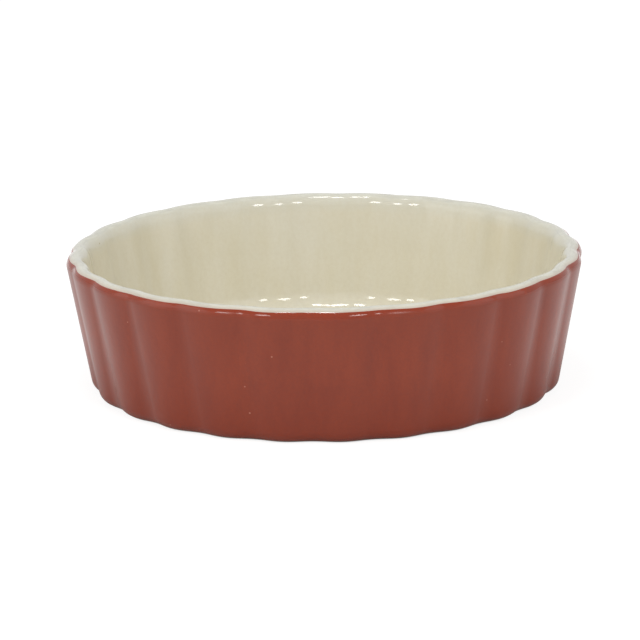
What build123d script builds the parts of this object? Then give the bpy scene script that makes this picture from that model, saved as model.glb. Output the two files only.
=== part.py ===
from build123d import *
from math import asin, atan2, cos, degrees, pi, radians, sin, tan
import os

# A small round fluted quiche dish of glazed stoneware, in millimetres.
# +Z is up. The origin is on the axis of the dish, in the plane that it stands on.

# Driving sizes of the dish
mouth_radius = 65.5         # axis to a flute's crest, where the wall's line meets the rim plane
height = 35.0               # table to the top of the rim
draft = 10.7                # lean of the wall from upright, in degrees
wall = 4.8                  # glazed wall, measured square to it
floor_top = 5.0             # table to the floor inside

# Flutes, measured in the rim plane
flute_count = 24
flute_depth = 1.0           # crest of a lobe to the middle of a valley
valley_radius = 6.0

# Rounded edges
floor_radius = 6.0
floor_lobe_radius = 1.5     # least radius left to a lobe where the rounding meets the floor
heel_radius = 3.5
inner_rim_bands = 2         # bands that make up the inner half of the rim's rounding
floor_bands = 2             # bands that make up the rounding between floor and wall

# Coloured glaze
glaze = 0.4                 # thickness of the coat
glaze_line_drop = 0.85      # top of the rim to the upper edge of the coat
foot_line = 0.8             # table to the lower edge of the coat
lobe_flats = 4              # flat sides of each lobe of the clay under the coat

# Underside
foot_ring = 6.0             # width of the bare ring that the dish stands on
recess_depth = 1.2          # table to the glazed underside
recess_draft = 30.0         # lean of the recess's wall, in degrees

# Worked out from the sizes above
lean = radians(draft)
half_pitch = pi / flute_count
valley_centre = mouth_radius - flute_depth + valley_radius
lobe_radius = (
    (mouth_radius**2 + valley_centre**2 - valley_radius**2)
    / 2
    - mouth_radius * valley_centre * cos(half_pitch)
) / (valley_radius + mouth_radius - valley_centre * cos(half_pitch))
lobe_centre = mouth_radius - lobe_radius
lobe_turn = atan2(
    valley_centre * sin(half_pitch), valley_centre * cos(half_pitch) - lobe_centre
)
rim_radius = wall / 2
glaze_line = height - glaze_line_drop
underside = recess_depth + glaze


def wall_inset(level):
    """How far the outside of the wall is inside the mouth's outline at a level."""
    return (height - level) * tan(lean)


def cavity_inset(level):
    """The same for the inside of the wall."""
    return wall_inset(level) + wall / cos(lean)


# Centre of each rounding, as its inset and its level
heel_centre = (wall_inset(heel_radius) + heel_radius / cos(lean), heel_radius)
rim_level = height - rim_radius
rim_centre = (wall_inset(rim_level) + rim_radius / cos(lean), rim_level)
floor_room = lobe_radius - floor_lobe_radius - cavity_inset(floor_top)
floor_fillet = min(floor_radius, floor_room / (1 / cos(lean) - tan(lean)))
floor_level = floor_top + floor_fillet
floor_centre = (cavity_inset(floor_level) + floor_fillet / cos(lean), floor_level)


def around(centre, radius, angle):
    """The inset and level of a point of a rounding, its angle counted up from outward."""
    return (centre[0] - radius * cos(angle), centre[1] + radius * sin(angle))


def rounding(centre, radius, first, last, bands):
    """Points along a rounding from one angle to another, a band between each two."""
    turn = (last - first) / bands
    return [around(centre, radius, first + turn * step) for step in range(bands + 1)]


def angle_at(centre, radius, level):
    """The angle at which a rounding passes a level."""
    return asin((level - centre[1]) / radius)


def on_lobe(inset, angle):
    """A point of the lobe that faces +Y, its angle counted from the crest toward +X."""
    reach = lobe_radius - inset
    return Vector(reach * sin(angle), lobe_centre + reach * cos(angle))


def valley_low(inset):
    """The lowest point of the valley beside that lobe."""
    return Vector(sin(half_pitch), cos(half_pitch)) * (mouth_radius - flute_depth - inset)


def turned(shape, flute):
    """A point or an edge of the first flute, turned to another one."""
    return Rot(0, 0, -degrees(2 * half_pitch) * flute) * shape


def fluted_outline(inset, level):
    """One closed outline: a lobe and a valley for each flute, as arcs that meet smoothly.

    An inset moves every side in by the same amount. The arcs keep their centres and their
    angles, so the wall between two outlines is made of true cones.
    """
    lobe_end = on_lobe(inset, -lobe_turn)
    lobe_start = on_lobe(inset, lobe_turn)
    next_lobe = turned(Location(lobe_end), 1).position
    lobe = ThreePointArc(lobe_end, on_lobe(inset, 0), lobe_start)
    valley = ThreePointArc(lobe_start, valley_low(inset), next_lobe)
    edges = []
    for flute in range(flute_count):
        edges += [turned(lobe, flute), turned(valley, flute)]
    return Pos(0, 0, level) * Face(Wire(edges))


def flat_corners(inset, level):
    """Corners of the same outline with flat sides: a few on each lobe, two in each valley."""
    side = 2 * lobe_turn / lobe_flats
    flute = [on_lobe(inset, side * step - lobe_turn) for step in range(lobe_flats + 1)]
    flute += [valley_low(inset)]
    place = Pos(0, 0, level)
    corners = []
    for turn in range(flute_count):
        corners += [(place * turned(Location(corner), turn)).position for corner in flute]
    return corners


def round_block(points):
    """A solid through the fluted outlines at a list of insets and levels, from the bottom up."""
    return loft([fluted_outline(inset, level) for inset, level in points], ruled=True)


def flat_block(points):
    """The same with flat sides."""
    rings = [flat_corners(inset, level) for inset, level in points]
    faces = [Face(Wire.make_polygon(ring)) for ring in (rings[0], rings[-1])]
    for low, high in zip(rings, rings[1:]):
        for corner, place in enumerate(low):
            side = [low[corner - 1], place, high[corner], high[corner - 1]]
            faces += [Face(Wire.make_polygon(side))]
    return Solid(Shell(faces))


def make_clay_core():
    """The clay up to the glaze line, as the coat finds it: rounded heel, wall and shoulder."""
    thinner = glaze / cos(lean)
    heel = (heel_centre[0] + thinner, heel_radius)
    foot_angle = angle_at(heel, heel_radius, foot_line)
    shoulder = rim_radius - glaze
    line_angle = angle_at(rim_centre, shoulder, glaze_line)
    points = rounding(heel, heel_radius, -pi / 2, foot_angle, 1)
    points += [around(heel, heel_radius, -lean)]
    points += rounding(rim_centre, shoulder, -lean, line_angle, 1)
    return flat_block(points)


def make_rim():
    """The outside of the rim above the coat, up to the top."""
    line_angle = angle_at(rim_centre, rim_radius, glaze_line)
    return round_block(rounding(rim_centre, rim_radius, line_angle, pi / 2, 1))


def make_cavity():
    """The hollow, from the floor up over the rounded inner edge of the rim."""
    points = rounding(floor_centre, floor_fillet, -pi / 2, -lean, floor_bands)
    points += rounding(rim_centre, rim_radius, pi - lean, pi / 2, inner_rim_bands)
    return round_block(points)


def recess_radius(level):
    """Radius of the round recess in the underside at a level."""
    foot_radius = mouth_radius - flute_depth - heel_centre[0] - glaze / cos(lean)
    return foot_radius - foot_ring - level * tan(radians(recess_draft))


def recess(bottom, top):
    """The part of the recess between two levels."""
    cone = Cone(recess_radius(bottom), recess_radius(top), top - bottom)
    return Pos(0, 0, (bottom + top) / 2) * cone


def make_stoneware_body():
    """The clay with its cream liner glaze: foot ring, fluted wall, rounded rim and floor."""
    body = make_clay_core() + make_rim()
    return body - make_cavity() - recess(0, underside)


def make_wall_glaze():
    """The coloured coat on the outside of the wall, between the foot and the glaze line."""
    foot_angle = angle_at(heel_centre, heel_radius, foot_line)
    line_angle = angle_at(rim_centre, rim_radius, glaze_line)
    points = rounding(heel_centre, heel_radius, foot_angle, -lean, 1)
    points += rounding(rim_centre, rim_radius, -lean, line_angle, 1)
    return round_block(points) - make_clay_core()


def make_base_glaze():
    """The coloured coat on the underside, inside the foot ring."""
    return recess(recess_depth, underside)


os.makedirs("parts", exist_ok=True)
parts = {
    "stoneware_body": make_stoneware_body(),
    "wall_glaze": make_wall_glaze(),
    "base_glaze": make_base_glaze(),
}
for name, part in parts.items():
    export_step(part, f"parts/{name}.step")
    print(name, round(part.volume / 1000, 2), "cm3")
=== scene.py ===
import math

import bmesh
import bpy
import numpy as np
from mathutils import Matrix, Vector


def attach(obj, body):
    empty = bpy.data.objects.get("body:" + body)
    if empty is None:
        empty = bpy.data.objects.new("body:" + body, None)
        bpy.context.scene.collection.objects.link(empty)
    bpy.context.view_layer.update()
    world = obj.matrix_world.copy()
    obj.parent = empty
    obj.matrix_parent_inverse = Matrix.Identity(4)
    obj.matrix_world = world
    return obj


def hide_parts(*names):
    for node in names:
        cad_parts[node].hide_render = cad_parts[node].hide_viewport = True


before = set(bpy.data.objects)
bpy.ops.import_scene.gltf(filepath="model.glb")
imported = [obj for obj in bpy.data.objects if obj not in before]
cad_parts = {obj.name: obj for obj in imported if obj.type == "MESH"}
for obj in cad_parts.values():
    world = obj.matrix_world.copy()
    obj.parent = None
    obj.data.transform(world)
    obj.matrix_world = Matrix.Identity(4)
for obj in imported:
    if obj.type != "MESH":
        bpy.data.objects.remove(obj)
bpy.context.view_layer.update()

# Shapes are worked out in millimetres, and their meshes are in metres
MM = 0.001

# Sizes of the dish, as in the solids
MOUTH_RADIUS = 65.5          # axis to a flute's crest, where the wall's line meets the rim plane
HEIGHT = 35.0
LEAN = math.radians(10.7)    # of the wall, from upright
WALL = 4.8
RIM_RADIUS = WALL / 2
FLOOR_TOP = 5.0
FLOOR_RADIUS = 6.0           # rounding between floor and wall
HEEL_RADIUS = 3.5
FLUTES = 24
FLUTE_DEPTH = 1.0            # crest of a lobe to the middle of a valley
VALLEY_RADIUS = 6.0
GLAZE = 0.4
GLAZE_LINE_DROP = 0.85       # top of the rim to the coat's upper edge
FOOT_RING = 6.0
RECESS_DEPTH = 1.2
RECESS_DRAFT = math.radians(30)

# Finer sizes of the flutes, and the points along each of them
RIM_DEPTH_SHARE = 0.7        # share of their depth that is left at the rim and inside
LOBE_STEPS = 24
VALLEY_STEPS = 16

# How deep each surface lies below that of the solids
UNDER = 0.3                  # clay under the coat
STEP = 0.13                  # cream glaze at the coat's edge
GRAZE = 0.005                # cream glaze at the top of the rim
SKIN = 0.07                  # outside of the coat

# Rim of the body, each turn counted up from outward round the rim's centre
LIP_START = 0.15                     # first ring, above the square to the wall
SWELL_START = math.radians(52)       # where the cream glaze starts to rise to the surface
SWELL_TURN = math.radians(30)
LIP_HEIGHT = 4.0                     # of the ellipse that rounds the inner half

# Recess and floor of the body
CEILING_SHARE = 0.5          # of the recess's radius, where its ceiling has a ring
CORNER_RUN = 0.4             # softened corner between the ceiling and the recess's wall
CORNER_DROP = 0.1
EDGE_RUN = 0.25              # softened edge between the recess's wall and the foot ring
EDGE_RISE = 0.35
EDGE_LOW = 0.08
FOOT_RUN = 0.3
FLOOR_SHARES = (0.85, 0.6, 0.35, 0.15)   # of the flat floor's radius, where it has rings

# Steps along the stretches of the body's section
HEEL_STEPS = 10
UNDER_WALL_STEPS = 8
LIP_RINGS = 45
CAVITY_STEPS = 12
FLOOR_STEPS = 16

# Upper and lower edge of the coat
FOOT_EDGE = 0.35                     # table to the lower edge
CREEP = math.radians(6)              # mean turn of the upper edge past the glaze line
WANDER = 4.5                         # most that it strays from there, in degrees
WANDER_SEED = 5
WANDER_WAVES = (3, 5, 8, 13, 19, 24, 31, 43)
DIP = math.radians(26)               # one low place, as photographed at the far left
DIP_BEARING = math.radians(-73)
DIP_WIDTH = math.radians(7)
TAPER = 0.2                          # turn over which the coat thins to its edge
BEAD = 0.065                         # swelling just below the edge
BEAD_BACK = 0.08                     # its place and its width, as turns
BEAD_WIDTH = 0.075
SHOULDER_TURN = 0.25                 # turn up to which the coat is even all round
EDGE_OVERRUN = 1.12                  # past 1, the edge runs on by a share of its taper
BACK = 0.1                           # how far the coat's back lies inside the clay
BACK_TURN = 0.1                      # turn at which its back starts

# Steps along the stretches of the coat's section
COAT_HEEL_STEPS = 7
COAT_WALL_STEPS = 14
SHOULDER_RINGS = 7
EDGE_RINGS = 19
BACK_STEPS = 6
BACK_HEEL_STEPS = 5

# Zones that the glazes' colours follow
BLEED = 0.62                 # height above the coat's edge to which its red tints the cream
THIN_ZONE = 1.5              # depth below the edge over which the coat is thin
THIN_WANDER = 0.5            # most that this depth varies, as a share
THIN_SEED = 8
THIN_WAVES = (3, 5, 8, 12, 17, 24, 29)

# Worked out from the sizes above
HALF_PITCH = math.pi / FLUTES
VALLEY_CENTRE = MOUTH_RADIUS - FLUTE_DEPTH + VALLEY_RADIUS
LOBE_RADIUS = (
    (MOUTH_RADIUS**2 + VALLEY_CENTRE**2 - VALLEY_RADIUS**2) / 2
    - MOUTH_RADIUS * VALLEY_CENTRE * math.cos(HALF_PITCH)
) / (VALLEY_RADIUS + MOUTH_RADIUS - VALLEY_CENTRE * math.cos(HALF_PITCH))
LOBE_CENTRE = MOUTH_RADIUS - LOBE_RADIUS
LOBE_TURN = math.atan2(
    VALLEY_CENTRE * math.sin(HALF_PITCH),
    VALLEY_CENTRE * math.cos(HALF_PITCH) - LOBE_CENTRE,
)


def wall_inset(level):
    """How far the outside of the wall is inside the mouth's outline at a level."""
    return (HEIGHT - level) * math.tan(LEAN)


def cavity_inset(level):
    """The same for the inside of the wall."""
    return wall_inset(level) + WALL / math.cos(LEAN)


# Centre of each rounding, as its inset and its level
HEEL_CENTRE = (wall_inset(HEEL_RADIUS) + HEEL_RADIUS / math.cos(LEAN), HEEL_RADIUS)
UNDER_HEEL_CENTRE = (HEEL_CENTRE[0] + UNDER, HEEL_RADIUS)
RIM_LEVEL = HEIGHT - RIM_RADIUS
RIM_CENTRE = (wall_inset(RIM_LEVEL) + RIM_RADIUS / math.cos(LEAN), RIM_LEVEL)
FLOOR_LEVEL = FLOOR_TOP + FLOOR_RADIUS
FLOOR_CENTRE = (cavity_inset(FLOOR_LEVEL) + FLOOR_RADIUS / math.cos(LEAN), FLOOR_LEVEL)

# Outline of the dish, as radii and bearings


def polar_outline(inset):
    """Radius and bearing of points round the whole fluted outline moved in by an inset."""
    lobe = np.linspace(-LOBE_TURN, LOBE_TURN, LOBE_STEPS, endpoint=False)
    reach = LOBE_RADIUS - inset
    x = list(reach * np.sin(lobe))
    y = list(LOBE_CENTRE + reach * np.cos(lobe))
    valley_end = 2 * HALF_PITCH - LOBE_TURN
    valley = np.linspace(LOBE_TURN, valley_end, VALLEY_STEPS, endpoint=False)
    reach = VALLEY_RADIUS + inset
    x += list(VALLEY_CENTRE * math.sin(HALF_PITCH) - reach * np.sin(valley))
    y += list(VALLEY_CENTRE * math.cos(HALF_PITCH) - reach * np.cos(valley))
    radius = np.tile(np.hypot(x, y), FLUTES)
    bearing = np.arctan2(x, y)
    turns = 2 * HALF_PITCH * np.arange(FLUTES)
    return radius, (bearing[None, :] + turns[:, None]).ravel()


# Points round each ring, and their bearings
SIDES = FLUTES * (LOBE_STEPS + VALLEY_STEPS)
BEARINGS = polar_outline(0)[1]


def wander(seed, size, waves):
    """A smooth closed wobble round the dish, of at most the given size."""
    rng = np.random.default_rng(seed)
    total = np.zeros(SIDES)
    for wave in waves:
        total += rng.normal() * np.cos(wave * BEARINGS + rng.uniform(0, 2 * math.pi))
    return size * total / np.abs(total).max()


def depth_share(level):
    """Outside, the flutes are pressed a little deeper near the foot than at the rim."""
    return 1 + (RIM_DEPTH_SHARE - 1) * np.clip(level / HEIGHT, 0, 1)


def points_at(radius, bearing, level):
    """Points round the dish, one to a row."""
    return np.stack([radius * np.sin(bearing), radius * np.cos(bearing), level], 1)


def circle(radius, level):
    """A plain ring."""
    return points_at(radius, BEARINGS, np.full(SIDES, level))


def ring(inset, level, depth=None):
    """A fluted ring. Its inset and its level may vary round the dish.

    Its flutes have the share of their depth that belongs to the level, unless one is given.
    """
    depth = depth_share(level) if depth is None else depth
    inset = np.broadcast_to(np.asarray(inset, float), (SIDES,))
    level = np.broadcast_to(np.asarray(level, float), (SIDES,))
    radius, bearing = polar_outline(float(inset.mean()))
    radius = radius - (inset - inset.mean())
    crest = MOUTH_RADIUS - inset
    radius = crest - depth * (crest - radius)
    return points_at(radius, bearing, level)


# Sections of the dish, as insets and levels


def around(centre, radius, turn):
    """A point of a rounding, its turn counted up from outward."""
    return centre[0] - radius * np.cos(turn), centre[1] + radius * np.sin(turn)


def arc(centre, radius, first, last, steps):
    """Points along a rounding from one turn to another."""
    return [around(centre, radius, turn) for turn in np.linspace(first, last, steps + 1)]


def line(first, last, steps):
    """Points between two, without the ends."""
    return [
        (first[0] + (last[0] - first[0]) * share, first[1] + (last[1] - first[1]) * share)
        for share in np.linspace(0, 1, steps + 1)[1:-1]
    ]


def skin(name, rings, materials, closed=False, second_until=0):
    """A smooth mesh through rings of points, joined end to start or capped at the axis.

    Its bands before the ring numbered second_until take the second material.
    """
    count = len(rings)
    verts = [tuple(vert) for vert in np.concatenate(rings) * MM]
    faces = []
    bands = []
    for band in range(count if closed else count - 1):
        low = band * SIDES
        high = (band + 1) % count * SIDES
        for side in range(SIDES):
            after = (side + 1) % SIDES
            faces.append((low + side, low + after, high + after, high + side))
            bands.append(band)
    capped = () if closed else (0, count - 1)
    for end in capped:
        centre = len(verts)
        verts.append((0.0, 0.0, float(rings[end][:, 2].mean()) * MM))
        for side in range(SIDES):
            after = (side + 1) % SIDES
            faces.append((end * SIDES + side, end * SIDES + after, centre))
            bands.append(end)
    mesh = bpy.data.meshes.new(name)
    mesh.from_pydata(verts, [], faces)
    for made in materials:
        mesh.materials.append(made)
    for polygon, band in zip(mesh.polygons, bands):
        polygon.use_smooth = True
        polygon.material_index = 1 if band < second_until else 0
    turn_outward(mesh)
    obj = bpy.data.objects.new(name, mesh)
    bpy.context.scene.collection.objects.link(obj)
    return obj


def turn_outward(mesh):
    """Turns every face of a closed mesh outward."""
    bm = bmesh.new()
    bm.from_mesh(mesh)
    bmesh.ops.recalc_face_normals(bm, faces=bm.faces)
    bm.to_mesh(mesh)
    bm.free()


def keep_values(mesh, name, values):
    """Keeps a number for each point of a mesh, for its material to read."""
    kept = mesh.attributes.new(name, "FLOAT", "POINT")
    kept.data.foreach_set("value", values)


# Nodes

# Inputs and output of a mix node, for numbers and for colours
MIX_SOCKETS = {"FLOAT": (2, 3, 0), "RGBA": (6, 7, 2)}

# The standard curve from display colours to linear light
CURVE_FOOT = 0.04045
CURVE_SLOPE = 12.92
CURVE_OFFSET = 0.055
CURVE_POWER = 2.4
FULL_LEVEL = 255


def linear(*levels):
    """A display colour, each level from 0 to 255, as linear light."""
    light = []
    for level in levels:
        share = level / FULL_LEVEL
        if share <= CURVE_FOOT:
            light.append(share / CURVE_SLOPE)
        else:
            light.append(((share + CURVE_OFFSET) / (1 + CURVE_OFFSET)) ** CURVE_POWER)
    return (*light, 1)


def material(name):
    """A new material, its node tree and its shader."""
    made = bpy.data.materials.new(name)
    made.use_nodes = True
    return made, made.node_tree, made.node_tree.nodes["Principled BSDF"]


def node(tree, kind, **values):
    """A new node with its settings."""
    made = tree.nodes.new(kind)
    for key, value in values.items():
        setattr(made, key, value)
    return made


def put(tree, value, socket):
    """Links an output to a socket, or sets the socket to a number or a colour."""
    if hasattr(value, "is_output"):
        tree.links.new(value, socket)
    else:
        socket.default_value = value


def compute(tree, operation, *values):
    """The result of a math node on outputs or numbers."""
    made = node(tree, "ShaderNodeMath", operation=operation)
    for value, socket in zip(values, made.inputs):
        put(tree, value, socket)
    return made.outputs[0]


def mix(tree, share, first, second, kind="RGBA"):
    """A mix of two colours, or of two numbers."""
    made = node(tree, "ShaderNodeMix", data_type=kind)
    first_input, second_input, result = MIX_SOCKETS[kind]
    put(tree, share, made.inputs[0])
    put(tree, first, made.inputs[first_input])
    put(tree, second, made.inputs[second_input])
    return made.outputs[result]


def mix_shaders(tree, share, first, second):
    """A mix of two shaders."""
    made = node(tree, "ShaderNodeMixShader")
    for value, socket in zip((share, first, second), made.inputs):
        tree.links.new(value, socket)
    return made.outputs[0]


def ramp(tree, value, low, high, start, end, blend="LINEAR"):
    """Changes from start to end while the value goes from low to high."""
    made = node(tree, "ShaderNodeMapRange", interpolation_type=blend, clamp=True)
    made.inputs["From Min"].default_value = low
    made.inputs["From Max"].default_value = high
    made.inputs["To Min"].default_value = start
    made.inputs["To Max"].default_value = end
    tree.links.new(value, made.inputs["Value"])
    return made.outputs["Result"]


def place_of(tree, scale=(1, 1, 1)):
    """A point's place in the dish's own frame, in metres, each of its numbers scaled."""
    source = node(tree, "ShaderNodeTexCoord")
    mapping = node(tree, "ShaderNodeMapping")
    mapping.inputs["Scale"].default_value = scale
    tree.links.new(source.outputs["Object"], mapping.inputs["Vector"])
    return mapping.outputs["Vector"]


def by_height(tree, low, high, start, end, blend="LINEAR"):
    """A ramp between two heights above the table, in millimetres."""
    parts = node(tree, "ShaderNodeSeparateXYZ")
    tree.links.new(place_of(tree), parts.inputs["Vector"])
    return ramp(tree, parts.outputs["Z"], low * MM, high * MM, start, end, blend)


def attribute(tree, name):
    """A number that the mesh keeps for each of its points."""
    return node(tree, "ShaderNodeAttribute", attribute_name=name).outputs["Fac"]


def noise(tree, place, scale, detail, roughness):
    """Noise between 0 and 1."""
    made = node(tree, "ShaderNodeTexNoise")
    made.inputs["Scale"].default_value = scale
    made.inputs["Detail"].default_value = detail
    made.inputs["Roughness"].default_value = roughness
    tree.links.new(place, made.inputs["Vector"])
    return made.outputs["Fac"]


def bump(tree, shader, height, strength, distance):
    """Raises a shader's surface by a height from 0 to 1."""
    made = node(tree, "ShaderNodeBump")
    made.inputs["Strength"].default_value = strength
    made.inputs["Distance"].default_value = distance
    tree.links.new(height, made.inputs["Height"])
    tree.links.new(made.outputs["Normal"], shader.inputs["Normal"])


def beyond_flutes(tree):
    """Distance from the origin less the outline's wave, so that it follows the flutes.

    The bearing round the dish comes second.
    """
    place = place_of(tree)
    reach = node(tree, "ShaderNodeVectorMath", operation="LENGTH")
    tree.links.new(place, reach.inputs[0])
    parts = node(tree, "ShaderNodeSeparateXYZ")
    tree.links.new(place, parts.inputs["Vector"])
    bearing = compute(tree, "ARCTAN2", parts.outputs["X"], parts.outputs["Y"])
    wave = compute(tree, "COSINE", compute(tree, "MULTIPLY", bearing, FLUTES))
    inward = -FLUTE_DEPTH / 2 * MM
    beyond = compute(tree, "MULTIPLY_ADD", wave, inward, reach.outputs["Value"])
    return beyond, bearing


# Colours of the glazes and the clay, and of the painted light and shade on them
CREAM = linear(218, 212, 192)
CREAM_WARM = linear(213, 205, 179)
CREAM_COOL = linear(219, 216, 201)
# painted light: a paler cream low in the cavity, where less light reaches
CREAM_PAINTED_LIGHT = linear(230, 225, 206)
# painted shade: a darker cream high on the inner wall
CREAM_PAINTED_SHADE = linear(203, 196, 173)
CREAM_SPECK = linear(200, 188, 156)
CREAM_PINHOLE = linear(186, 174, 144)
RIM_CREAM = linear(218, 217, 204)
RIM_SLOPE = linear(210, 208, 194)
RIM_LINE = linear(190, 189, 178)
RED = linear(146, 59, 31)
RED_DARK = linear(131, 50, 27)
RED_EDGE = linear(148, 48, 12)
RED_BLED = linear(168, 92, 62)
RED_SPECK = linear(116, 50, 36)
RED_PINHOLE = linear(178, 112, 92)
CLAY_DARK = linear(190, 170, 140)
CLAY_PALE = linear(212, 196, 168)

# Noise patterns: scale per metre, detail and roughness
STREAKS = (170, 4, 0.6)
PATCHES = (28, 2, 0.5)
CREAM_GRAIN = (1100, 3, 0.65)
CREAM_RIPPLE = (160, 1, 0.5)
WIPE_LINES = (1100, 3, 0.65)
MOTTLE = (190, 5, 0.65)
RED_GRAIN = (1500, 2, 0.6)
RED_RIPPLE = (420, 3, 0.5)
CLAY_GRAIN = (900, 4, 0.65)

# Scales that draw a pattern out: upright for streaks and mottle, along the rim for lines
STREAK_SCALE = (1, 1, 0.1)
MOTTLE_SCALE = (1, 1, 0.3)
LINE_SCALE = 0.009           # metres to a radian of the bearing

# Shares of a colour by its pattern or zone: low, high, share at low and share at high
STREAK_SHARES = (0.35, 0.65, 0, 1)
PATCH_SHARES = (0.4, 0.7, 0, 0.5)
CREAM_GRAIN_SHARES = (0.35, 0.75, 0, 0.2)
LINE_SHARES = (0.42, 0.66, 0, 0.6)
BLEED_SHARES = (0, 1, 0, 0.32)
MOTTLE_SHARES = (0.35, 0.65, 0.16, 0.84)
RED_GRAIN_SHARES = (0.3, 0.75, 0, 0.34)
CLAY_SHARES = (0.3, 0.7, 0, 1)

# Shares of a colour by height in millimetres: low, high, share at low and share at high
# painted light: share of the paler cream by height, most low in the cavity
PAINTED_LIGHT_HEIGHTS = (8, 22, 0.35, 0)
# painted shade: share of the darker cream by height, most near the rim
PAINTED_SHADE_HEIGHTS = (18, 31, 0, 0.12)
RIM_HEIGHTS = (30.4, 34.6, 0, 1)
RIM_TOP_HEIGHTS = (34.1, 34.8, 0, 1)
# painted shade: the red darkens towards the foot
RED_PAINTED_SHADE_HEIGHTS = (0, 17, 0.7, 0)
RED_TOP_HEIGHTS = (22, 31, 0, 0.3)

# Gloss of the glazes and the clay
CREAM_GLOSS = 0.08                                           # roughness at the floor and rim
CREAM_SATIN = 0.27                                           # roughness of the wall
CREAM_WALL_HEIGHTS = (8.5, 20, CREAM_GLOSS, CREAM_SATIN)     # roughness by height
CREAM_RIM_HEIGHTS = (26.5, 33, 0, 1)                         # share of the rim's gloss by height
RED_SHEEN = (0.2, 0.6, 0.3, 0.08)                            # roughness by how thin the coat is
RED_SPECULAR = 0.4
CLAY_ROUGHNESS = 0.85

# Pinholes: scale of their pattern and size as a share of its spacing
CREAM_PINHOLES = (120, 0.035)
RED_PINHOLES = (150, 0.04)
PINHOLE_CORE_SHARE = 0.6     # of a pinhole's size, inside which it has its full colour

# Bumps: strength, and height in metres
CREAM_BUMP = (0.035, 0.0003)
RED_BUMP = (0.1, 0.0003)
CLAY_BUMP = (0.3, 0.0003)


def wipe_lines(tree):
    """Fine lines along the rim, where the glaze was wiped."""
    beyond, bearing = beyond_flutes(tree)
    place = node(tree, "ShaderNodeCombineXYZ")
    tree.links.new(beyond, place.inputs["X"])
    tree.links.new(compute(tree, "MULTIPLY", bearing, LINE_SCALE), place.inputs["Y"])
    return noise(tree, place.outputs[0], *WIPE_LINES)


def pinholes(tree, scale, size):
    """1 in a few sparse specks and 0 elsewhere."""
    made = node(tree, "ShaderNodeTexVoronoi")
    made.inputs["Scale"].default_value = scale
    tree.links.new(place_of(tree), made.inputs["Vector"])
    return ramp(tree, made.outputs["Distance"], size * PINHOLE_CORE_SHARE, size, 1, 0)


def cream_glaze():
    """The liner: streaked cream with painted light low in the cavity and painted shade high on
    the wall, satin on the wall and glossy at the floor and the rim.
    """
    made, tree, shader = material("cream_glaze")
    streaks = noise(tree, place_of(tree, STREAK_SCALE), *STREAKS)
    patches = noise(tree, place_of(tree), *PATCHES)
    grain = noise(tree, place_of(tree), *CREAM_GRAIN)
    colour = mix(tree, ramp(tree, streaks, *STREAK_SHARES), CREAM_WARM, CREAM)
    colour = mix(tree, ramp(tree, patches, *PATCH_SHARES), colour, CREAM_COOL)
    # painted light: paler cream low in the cavity
    colour = mix(tree, by_height(tree, *PAINTED_LIGHT_HEIGHTS), colour, CREAM_PAINTED_LIGHT)
    # painted shade: darker cream high on the wall
    colour = mix(tree, by_height(tree, *PAINTED_SHADE_HEIGHTS), colour, CREAM_PAINTED_SHADE)
    lined = mix(tree, ramp(tree, wipe_lines(tree), *LINE_SHARES), RIM_CREAM, RIM_LINE)
    rim = mix(tree, by_height(tree, *RIM_TOP_HEIGHTS), RIM_SLOPE, lined)
    colour = mix(tree, by_height(tree, *RIM_HEIGHTS), colour, rim)
    colour = mix(tree, ramp(tree, grain, *CREAM_GRAIN_SHARES), colour, CREAM_SPECK)
    colour = mix(tree, pinholes(tree, *CREAM_PINHOLES), colour, CREAM_PINHOLE)
    bleed = ramp(tree, attribute(tree, "bleed"), *BLEED_SHARES)
    colour = mix(tree, bleed, colour, RED_BLED)
    tree.links.new(colour, shader.inputs["Base Color"])
    wall = by_height(tree, *CREAM_WALL_HEIGHTS, "SMOOTHSTEP")
    near_rim = by_height(tree, *CREAM_RIM_HEIGHTS, "SMOOTHSTEP")
    roughness = mix(tree, near_rim, wall, CREAM_GLOSS, "FLOAT")
    tree.links.new(roughness, shader.inputs["Roughness"])
    ripple = noise(tree, place_of(tree), *CREAM_RIPPLE)
    bump(tree, shader, ripple, *CREAM_BUMP)
    return made


def red_glaze():
    """The coat: mottled rust red with painted shade towards the foot, purer in colour and
    glossier where it thins to its edge.
    """
    made, tree, shader = material("rust_glaze")
    mottle = noise(tree, place_of(tree, MOTTLE_SCALE), *MOTTLE)
    grain = noise(tree, place_of(tree), *RED_GRAIN)
    colour = mix(tree, ramp(tree, mottle, *MOTTLE_SHARES), RED_DARK, RED)
    # painted shade: darker red towards the foot
    colour = mix(tree, by_height(tree, *RED_PAINTED_SHADE_HEIGHTS), colour, RED_DARK)
    colour = mix(tree, by_height(tree, *RED_TOP_HEIGHTS), colour, RED_DARK)
    colour = mix(tree, attribute(tree, "thin"), colour, RED_EDGE)
    colour = mix(tree, ramp(tree, grain, *RED_GRAIN_SHARES), colour, RED_SPECK)
    colour = mix(tree, pinholes(tree, *RED_PINHOLES), colour, RED_PINHOLE)
    tree.links.new(colour, shader.inputs["Base Color"])
    sheen = ramp(tree, attribute(tree, "thin"), *RED_SHEEN)
    tree.links.new(sheen, shader.inputs["Roughness"])
    shader.inputs["Specular IOR Level"].default_value = RED_SPECULAR
    ripple = noise(tree, place_of(tree), *RED_RIPPLE)
    bump(tree, shader, ripple, *RED_BUMP)
    return made


def bare_clay():
    """The unglazed foot ring, and the clay that the coat hides."""
    made, tree, shader = material("bare_clay")
    grain = noise(tree, place_of(tree), *CLAY_GRAIN)
    colour = mix(tree, ramp(tree, grain, *CLAY_SHARES), CLAY_DARK, CLAY_PALE)
    tree.links.new(colour, shader.inputs["Base Color"])
    shader.inputs["Roughness"].default_value = CLAY_ROUGHNESS
    bump(tree, shader, grain, *CLAY_BUMP)
    return made


# The dish


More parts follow.
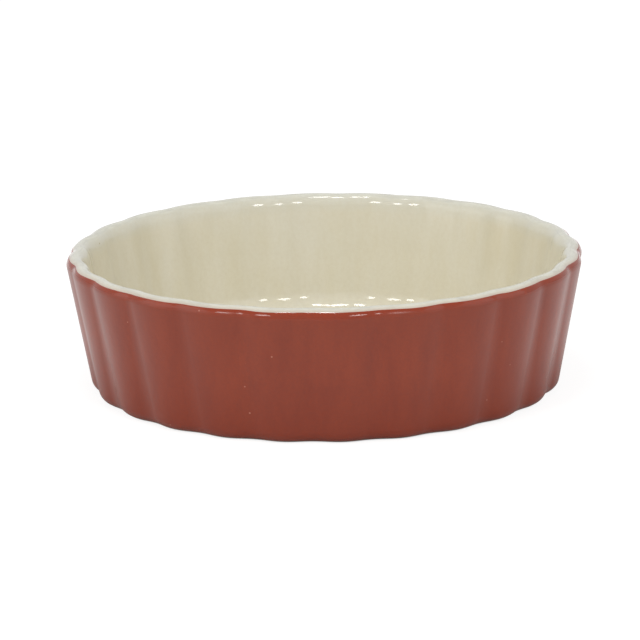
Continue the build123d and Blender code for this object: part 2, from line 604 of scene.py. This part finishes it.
def coat_edge():
    """Turn and level of the coat's upper edge, all the way round."""
    turn = math.asin(1 - GLAZE_LINE_DROP / RIM_RADIUS) + CREEP
    turn = turn + np.radians(wander(WANDER_SEED, WANDER, WANDER_WAVES))
    from_dip = np.angle(np.exp(1j * (BEARINGS - DIP_BEARING)))
    turn = turn - DIP * np.exp(-((from_dip / DIP_WIDTH) ** 2))
    return turn, around(RIM_CENTRE, RIM_RADIUS - SKIN, turn)[1]


def recess_rings():
    """Rings of the body from the middle of the recess out to the foot ring."""
    top = RECESS_DEPTH + GLAZE
    foot_radius = MOUTH_RADIUS - FLUTE_DEPTH - HEEL_CENTRE[0] - GLAZE / math.cos(LEAN)
    outer = foot_radius - FOOT_RING
    inner = outer - top * math.tan(RECESS_DRAFT)
    section = (
        (inner * CEILING_SHARE, top),
        (inner - CORNER_RUN, top),
        (inner, top - CORNER_DROP),
        (outer - EDGE_RUN, EDGE_RISE),
        (outer, EDGE_LOW),
        (outer + FOOT_RUN, 0.0),
    )
    return [circle(radius, level) for radius, level in section]


def soft_lip(turn):
    """The inner half of the rim: a tall ellipse that meets the top and the wall smoothly."""
    to_wall = RIM_RADIUS + (LIP_HEIGHT - RIM_RADIUS) * math.sin(LEAN)
    wide = (to_wall**2 - (LIP_HEIGHT * math.sin(LEAN)) ** 2) / math.cos(LEAN) ** 2
    tall = LIP_HEIGHT**2
    span = math.sqrt(wide * math.cos(turn) ** 2 + tall * math.sin(turn) ** 2)
    level = HEIGHT - GRAZE - LIP_HEIGHT + tall * math.sin(turn) / span
    return RIM_CENTRE[0] - wide * math.cos(turn) / span, level


def lip(turn):
    """The rim of the body: it rises to the surface outside and is softly rounded inside."""
    if turn > math.pi / 2:
        return soft_lip(turn)
    swell = np.clip((turn - SWELL_START) / SWELL_TURN, 0, 1)
    swell = swell * swell * (3 - 2 * swell)
    return around(RIM_CENTRE, RIM_RADIUS - STEP + (STEP - GRAZE) * swell, turn)


def make_body(edge_level):
    """The clay with its cream glaze, from the recess up over the rim and down to the floor."""
    rings = recess_rings()
    heel = arc(UNDER_HEEL_CENTRE, HEEL_RADIUS, -math.pi / 2, -LEAN, HEEL_STEPS)
    shoulder = around(RIM_CENTRE, RIM_RADIUS - UNDER, -LEAN)
    hidden = heel + line(heel[-1], shoulder, UNDER_WALL_STEPS) + [shoulder]
    rings += [ring(*point) for point in hidden]
    first_lip = len(rings)
    lip_turns = np.linspace(-LEAN + LIP_START, math.pi - LEAN, LIP_RINGS)
    inside = [lip(turn) for turn in lip_turns]
    floor_arc = arc(FLOOR_CENTRE, FLOOR_RADIUS, -LEAN, -math.pi / 2, FLOOR_STEPS)
    inside += line(inside[-1], floor_arc[0], CAVITY_STEPS) + floor_arc
    rings += [ring(*point, RIM_DEPTH_SHARE) for point in inside]
    floor_radius = MOUTH_RADIUS - floor_arc[-1][0]
    rings += [circle(floor_radius * share, FLOOR_TOP) for share in FLOOR_SHARES]
    materials = (cream_glaze(), bare_clay())
    made = skin("glazed_stoneware", rings, materials, second_until=first_lip - 1)
    bleed = np.zeros(len(made.data.vertices), np.float32)
    outer_rings = int(np.sum(lip_turns < math.pi / 2))
    for number in range(first_lip, first_lip + outer_rings):
        above = rings[number][:, 2] - edge_level
        bleed[number * SIDES : (number + 1) * SIDES] = np.clip(1 - above / BLEED, 0, 1)
    keep_values(made.data, "bleed", bleed)
    return made


def coat_section(edge_turn):
    """Points round the coat: up its outside, over its edge and down against the clay."""
    outside = RIM_RADIUS - SKIN
    heel_centre = (HEEL_CENTRE[0] + SKIN, HEEL_CENTRE[1])
    foot_turn = -math.asin((HEEL_RADIUS - FOOT_EDGE) / HEEL_RADIUS)
    points = arc(heel_centre, HEEL_RADIUS, foot_turn, -LEAN, COAT_HEEL_STEPS)
    points += line(points[-1], around(RIM_CENTRE, outside, -LEAN), COAT_WALL_STEPS)
    for turn in np.linspace(-LEAN, SHOULDER_TURN, SHOULDER_RINGS)[1:]:
        points.append(around(RIM_CENTRE, outside, turn))
    for share in np.linspace(0, EDGE_OVERRUN, EDGE_RINGS)[1:]:
        turn = SHOULDER_TURN + (edge_turn - SHOULDER_TURN) * min(share, 1)
        turn = turn + TAPER * max(0, share - 1)
        thinned = np.maximum((turn - edge_turn + TAPER) / TAPER, 0)
        bead = BEAD * np.exp(-(((turn - edge_turn + BEAD_BACK) / BEAD_WIDTH) ** 2))
        radius = outside - (STEP - SKIN) * thinned + bead
        points.append(around(RIM_CENTRE, radius, turn))
    back_top = around(RIM_CENTRE, RIM_RADIUS - UNDER - BACK, BACK_TURN)
    back_heel_centre = (UNDER_HEEL_CENTRE[0] + BACK, HEEL_RADIUS)
    back_heel = arc(back_heel_centre, HEEL_RADIUS, -LEAN, foot_turn, BACK_HEEL_STEPS)
    return points + [back_top] + line(back_top, back_heel[0], BACK_STEPS) + back_heel


def make_coat(edge_turn, edge_level):
    """The rust red coat on the outside of the wall."""
    section = coat_section(edge_turn)
    rings = [ring(*point) for point in section]
    made = skin("wall_glaze_coat", rings, (red_glaze(),), closed=True)
    zone = THIN_ZONE * (1 + wander(THIN_SEED, THIN_WANDER, THIN_WAVES))
    thin = [np.clip(1 - (edge_level - level) / zone, 0, 1) for _, level in section]
    keep_values(made.data, "thin", np.concatenate(thin).astype(np.float32))
    return made


edge_turn, edge_level = coat_edge()

body = make_body(edge_level)
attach(body, "root")
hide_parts("stoneware_body")

wall_coat = make_coat(edge_turn, edge_level)
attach(wall_coat, "root")
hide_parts("wall_glaze")

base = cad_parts["base_glaze"]
base.data.materials.clear()
base.data.materials.append(red_glaze())

# Camera and its directions, lengths in metres except the sensor's and the lens's
CAMERA_BEARING = math.radians(3.9)
CAMERA_ELEVATION = math.radians(14.18)
CAMERA_ROLL = math.radians(-0.879)
CAMERA_DISTANCE = 1.31
AIM_RIGHT = -0.00139
AIM_UP = 0.01635
SENSOR_WIDTH = 36            # in millimetres, as is the lens
LENS = 291.8
CLIP_START = 0.05
CLIP_END = 50
FORWARD = Vector((math.sin(CAMERA_BEARING), math.cos(CAMERA_BEARING), 0))
RIGHT = Vector((math.cos(CAMERA_BEARING), -math.sin(CAMERA_BEARING), 0))
UP = Vector((0, 0, 1))

# Floor, lengths in metres
FLOOR_SIZE = 6
FLOOR_DROP = 0.00005         # below the foot, so that it meets no face of the dish
FLOOR_COLOUR = (0.8, 0.8, 0.79, 1)
FLOOR_WHITE = 1.24           # strength of the white that is mixed in away from the dish

# Share of that white by the distance from the origin less the flutes' wave: low, high,
# share at low and share at high
SEEN_FADE = (0.0556, 0.0565, 0, 0.7)
REFLECTED_FADE = (0.057, 0.085, 0, 0.7)

# Room light, what the camera's side adds to it, and the backdrop that is seen in its place
ROOM_LIGHT = 0.53
FRONT_LIGHT = 0.12
ROOM_COLOUR = (1, 1, 1, 1)
BACKDROP_COLOUR = (0.8, 0.8, 0.8, 1)

# Lamps: name, bearing and elevation in degrees from the camera's side, distance and size
# in metres, glow
LAMPS = (
    ("overhead", -24, 77, 1.3, (0.4, 0.22), 15.0),
    ("front_left", -37, 33, 1.5, (0.4, 0.28), 11.0),
    ("front_right", 25, 33, 1.5, (0.4, 0.28), 11.0),
    ("left", -76, 20, 1.5, (1.2, 1.2), 0.9),
    ("right", 75, 20, 1.5, (1.2, 1.2), 0.66),
)
LAMP_AIM = Vector((0, 0, 0.02))


def switch(tree, lit, shown, target):
    """The lit shader for light that bounces, the shown one for what is seen or reflected."""
    path = node(tree, "ShaderNodeLightPath")
    seen = path.outputs["Is Camera Ray"]
    for kind in ("Is Glossy Ray", "Is Transmission Ray"):
        seen = compute(tree, "MAXIMUM", seen, path.outputs[kind])
    tree.links.new(mix_shaders(tree, seen, lit, shown), target)


def make_floor():
    """A pale floor, with the dish's shadow full close to the foot and fainter further out."""
    bpy.ops.mesh.primitive_plane_add(size=FLOOR_SIZE, location=(0, 0, -FLOOR_DROP))
    plane = bpy.context.object
    plane.name = "studio_floor"
    made, tree, shader = material("studio_floor")
    tree.nodes.remove(shader)
    diffuse = node(tree, "ShaderNodeBsdfDiffuse")
    diffuse.inputs["Color"].default_value = FLOOR_COLOUR
    white = node(tree, "ShaderNodeEmission")
    white.inputs["Strength"].default_value = FLOOR_WHITE
    beyond = beyond_flutes(tree)[0]
    seen = ramp(tree, beyond, *SEEN_FADE)
    reflected = ramp(tree, beyond, *REFLECTED_FADE)
    camera_ray = node(tree, "ShaderNodeLightPath").outputs["Is Camera Ray"]
    share = mix(tree, camera_ray, reflected, seen, "FLOAT")
    shown = mix_shaders(tree, share, diffuse.outputs[0], white.outputs[0])
    switch(tree, diffuse.outputs[0], shown, tree.nodes["Material Output"].inputs["Surface"])
    plane.data.materials.append(made)
    return plane


def make_room():
    """Even dim light, a little brighter from the camera's side, and a paler backdrop."""
    world = bpy.data.worlds.new("studio")
    bpy.context.scene.world = world
    world.use_nodes = True
    tree = world.node_tree
    dim = tree.nodes["Background"]
    dim.inputs["Color"].default_value = ROOM_COLOUR
    facing = node(tree, "ShaderNodeVectorMath", operation="DOT_PRODUCT")
    facing.inputs[1].default_value = -FORWARD
    source = node(tree, "ShaderNodeTexCoord")
    tree.links.new(source.outputs["Generated"], facing.inputs[0])
    front = ROOM_LIGHT + FRONT_LIGHT
    level = ramp(tree, facing.outputs["Value"], 0, 1, ROOM_LIGHT, front)
    tree.links.new(level, dim.inputs["Strength"])
    backdrop = node(tree, "ShaderNodeBackground")
    backdrop.inputs["Color"].default_value = BACKDROP_COLOUR
    surface = tree.nodes["World Output"].inputs["Surface"]
    switch(tree, dim.outputs[0], backdrop.outputs[0], surface)


def softbox(name, bearing, elevation, distance, size, glow):
    """A round or elliptical lamp that faces the dish. Its glow is its radiance."""
    data = bpy.data.lights.new(name, "AREA")
    data.shape = "DISK" if size[0] == size[1] else "ELLIPSE"
    data.size, data.size_y = size
    data.energy = glow * math.pi * math.pi * size[0] * size[1] / 4
    lamp = bpy.data.objects.new(name, data)
    bpy.context.scene.collection.objects.link(lamp)
    side = math.radians(bearing)
    up = math.radians(elevation)
    toward = -FORWARD * math.cos(up) * math.cos(side)
    toward += RIGHT * math.cos(up) * math.sin(side)
    toward += UP * math.sin(up)
    lamp.location = toward * distance + LAMP_AIM
    lamp.rotation_mode = "QUATERNION"
    lamp.rotation_quaternion = toward.to_track_quat("Z", "Y")


def make_camera():
    """The camera, at the photograph's angle and frame."""
    data = bpy.data.cameras.new("camera")
    data.sensor_width = SENSOR_WIDTH
    data.lens = LENS
    data.clip_start = CLIP_START
    data.clip_end = CLIP_END
    made = bpy.data.objects.new("camera", data)
    bpy.context.scene.collection.objects.link(made)
    aim = RIGHT * AIM_RIGHT + UP * AIM_UP
    back = -FORWARD * math.cos(CAMERA_ELEVATION) + UP * math.sin(CAMERA_ELEVATION)
    made.location = aim + back * CAMERA_DISTANCE
    made.rotation_mode = "QUATERNION"
    roll = Matrix.Rotation(CAMERA_ROLL, 3, "Z").to_quaternion()
    made.rotation_quaternion = back.to_track_quat("Z", "Y") @ roll
    return made


floor = make_floor()
make_room()
for lamp in LAMPS:
    softbox(*lamp)
bpy.context.scene.camera = make_camera()
bpy.context.scene.view_settings.view_transform = "Standard"
